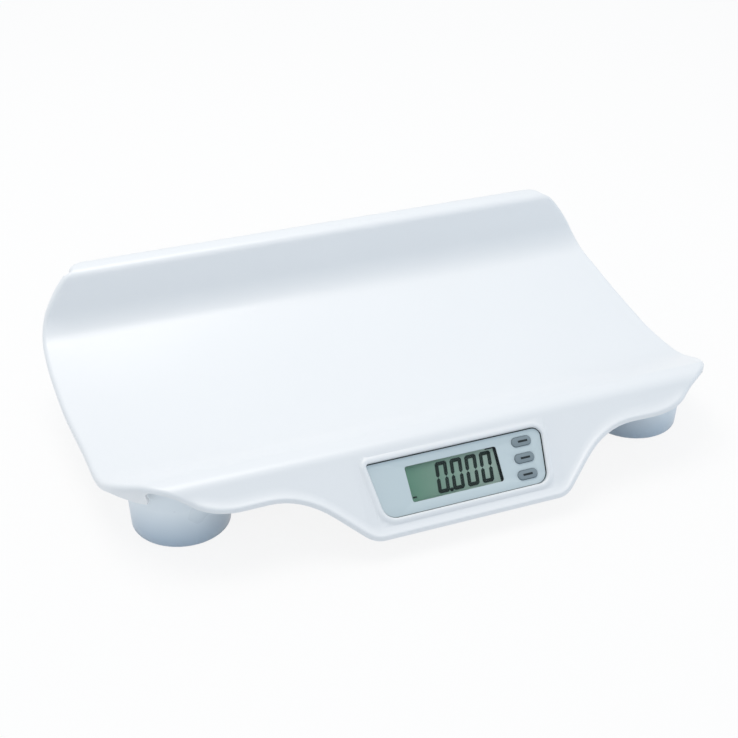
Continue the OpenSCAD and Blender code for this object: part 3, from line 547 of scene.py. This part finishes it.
# Painted shadow: this shift widens the ring at the top and on the right.
painted_shadow_shift = (-0.42 * mm, -0.26 * mm, 0)
joint_thickness = 0.12 * mm
above_panel = 0.02 * mm
joint_and_shadow = add(bpy.ops.mesh.primitive_plane_add, "panel_joint_and_shadow", size=2)
for corner in joint_and_shadow.data.vertices:
    x, y, _ = joint_corners[round(corner.co.x), round(corner.co.y)]
    corner.co = (x * mm, y * mm, 0)
for x, y, radius in joint_corners.values():
    take(joint_and_shadow)
    bpy.ops.object.mode_set(mode="EDIT")
    bpy.ops.mesh.select_mode(type="VERT")
    bpy.ops.mesh.select_all(action="DESELECT")
    done()
    for corner in joint_and_shadow.data.vertices:
        corner.select = (corner.co - Vector((x, y, 0)) * mm).length < 0.01 * mm
    bpy.ops.object.mode_set(mode="EDIT")
    bpy.ops.mesh.bevel(offset=radius * mm, segments=8, affect="VERTICES")
    done()
edit(joint_and_shadow)
bpy.ops.mesh.select_mode(type="FACE")
bpy.ops.mesh.select_all(action="SELECT")
bpy.ops.mesh.inset(thickness=joint_width)
bpy.ops.transform.translate(value=painted_shadow_shift)
bpy.ops.mesh.delete(type="FACE")
bpy.ops.mesh.select_all(action="SELECT")
bpy.ops.mesh.extrude_region_move(TRANSFORM_OT_translate={"value": (0, 0, joint_thickness)})
bpy.ops.mesh.select_all(action="SELECT")
bpy.ops.mesh.normals_make_consistent(inside=False)
done()
lay_on_glass(joint_and_shadow, panel_u, panel_v, panel_lift + above_panel)
finish(joint_and_shadow, trim_and_painted_shadow)
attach(joint_and_shadow, "root")
print("the joint line has", len(joint_and_shadow.data.polygons), "faces")

# %% [markdown]
# ## Keys
#
# Each key is an oval cap with a soft edge. Across it lies a plain dark bar where a key's word
# would be, and it travels with its key.
# %% Keys
key_proud = 1 * mm
mark_width, mark_height = 8.5 * mm, 1.7 * mm
key_marks = {
    "power_key": (64.4 * mm, 13.6 * mm), "zero_key": (63.0 * mm, 0),
    "hold_key": (61.4 * mm, -13.6 * mm)}
for key, (u, v) in key_marks.items():
    finish(dress(key, 30, 0.4 * mm), key_grey)
    mark = slab(key + "_mark", mark_width, mark_height, u, v, panel_lift + key_proud)
    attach(mark, nodes[key]["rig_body"])

# %% [markdown]
# ## Inner pieces
#
# What lies inside isn't seen while the scale is closed, but it gets its finish all the same.
# %% Inner pieces
inner = {
    "lcd_holder": black, "lcd_connector": black, "main_board": board, "board_chips": black,
    "board_screws": steel, "tact_switches": black, "buzzer": black, "case_screws": steel,
    "foot_screws": steel, "battery_cells": jacket, "battery_springs": nickel,
    "battery_contacts": nickel, "sensor_leads": grey_wire, "battery_leads": red_wire}
for node, material in inner.items():
    finish(nodes[node], material)

# %% [markdown]
# ## Floor and light
#
# The floor is pale. The camera and mirrors see it near white, and everything else sees plain pale
# paint, so it doesn't flood the object with light. One wide lamp overhead makes the tray's floor
# the brightest place, a weak and low one from the right fills that side, and the sky lifts the
# rest.
# %% Floor
glow_share = 0.88
floor = add(bpy.ops.mesh.primitive_plane_add, "floor", size=12)
paper, tree, paint = new_material("paper")
paint.inputs["Base Color"].default_value = (0.86, 0.86, 0.86, 1)
paint.inputs["Roughness"].default_value = 0.9
glow = new_node(tree, "Emission", {"Color": (1, 1, 1, 1)})
path = new_node(tree, "LightPath")
seen = new_node(tree, "Math", operation="MAXIMUM")
tree.links.new(path.outputs["Is Camera Ray"], seen.inputs[0])
tree.links.new(path.outputs["Is Glossy Ray"], seen.inputs[1])
share = new_node(tree, "Math", {1: glow_share}, operation="MULTIPLY")
tree.links.new(seen.outputs[0], share.inputs[0])
both = new_node(tree, "MixShader")
tree.links.new(share.outputs[0], both.inputs["Fac"])
tree.links.new(paint.outputs["BSDF"], both.inputs[1])
tree.links.new(glow.outputs["Emission"], both.inputs[2])
tree.links.new(both.outputs["Shader"], tree.nodes["Material Output"].inputs["Surface"])
finish(floor, paper)

# %% Sky and lamps
world = bpy.data.worlds.new("world")
bpy.context.scene.world = world
world.use_nodes = True
tree = world.node_tree
sky = tree.nodes["Background"]
sky.inputs["Color"].default_value = (0.82, 0.92, 1.02, 1)
sky.inputs["Strength"].default_value = 0.68
plain = new_node(tree, "Background", {"Color": (1, 1, 1, 1), "Strength": 1})
ray = new_node(tree, "LightPath")
choose = new_node(tree, "MixShader")
tree.links.new(ray.outputs["Is Camera Ray"], choose.inputs["Fac"])
tree.links.new(sky.outputs["Background"], choose.inputs[1])
tree.links.new(plain.outputs["Background"], choose.inputs[2])
tree.links.new(choose.outputs["Shader"], tree.nodes["World Output"].inputs["Surface"])


def lamp(name, place, aim, width, power, colour):
    light = bpy.data.lights.new(name, "AREA")
    light.shape = "SQUARE"
    light.size = width
    light.energy = power
    light.color = colour
    holder = bpy.data.objects.new(name, light)
    bpy.context.scene.collection.objects.link(holder)
    holder.location = place
    holder.rotation_euler = (Vector(aim) - Vector(place)).to_track_quat("-Z", "Y").to_euler()


lamp("overhead", (-0.25, 0.4, 2.0), (0, 0, 0), 1.3, 22.5, (1.0, 0.92, 0.84))
lamp("side", (1.7, -0.8, 0.22), (0, 0, 0.05), 0.9, 4, (0.90, 0.96, 1.0))
bpy.context.scene.view_settings.view_transform = "Standard"
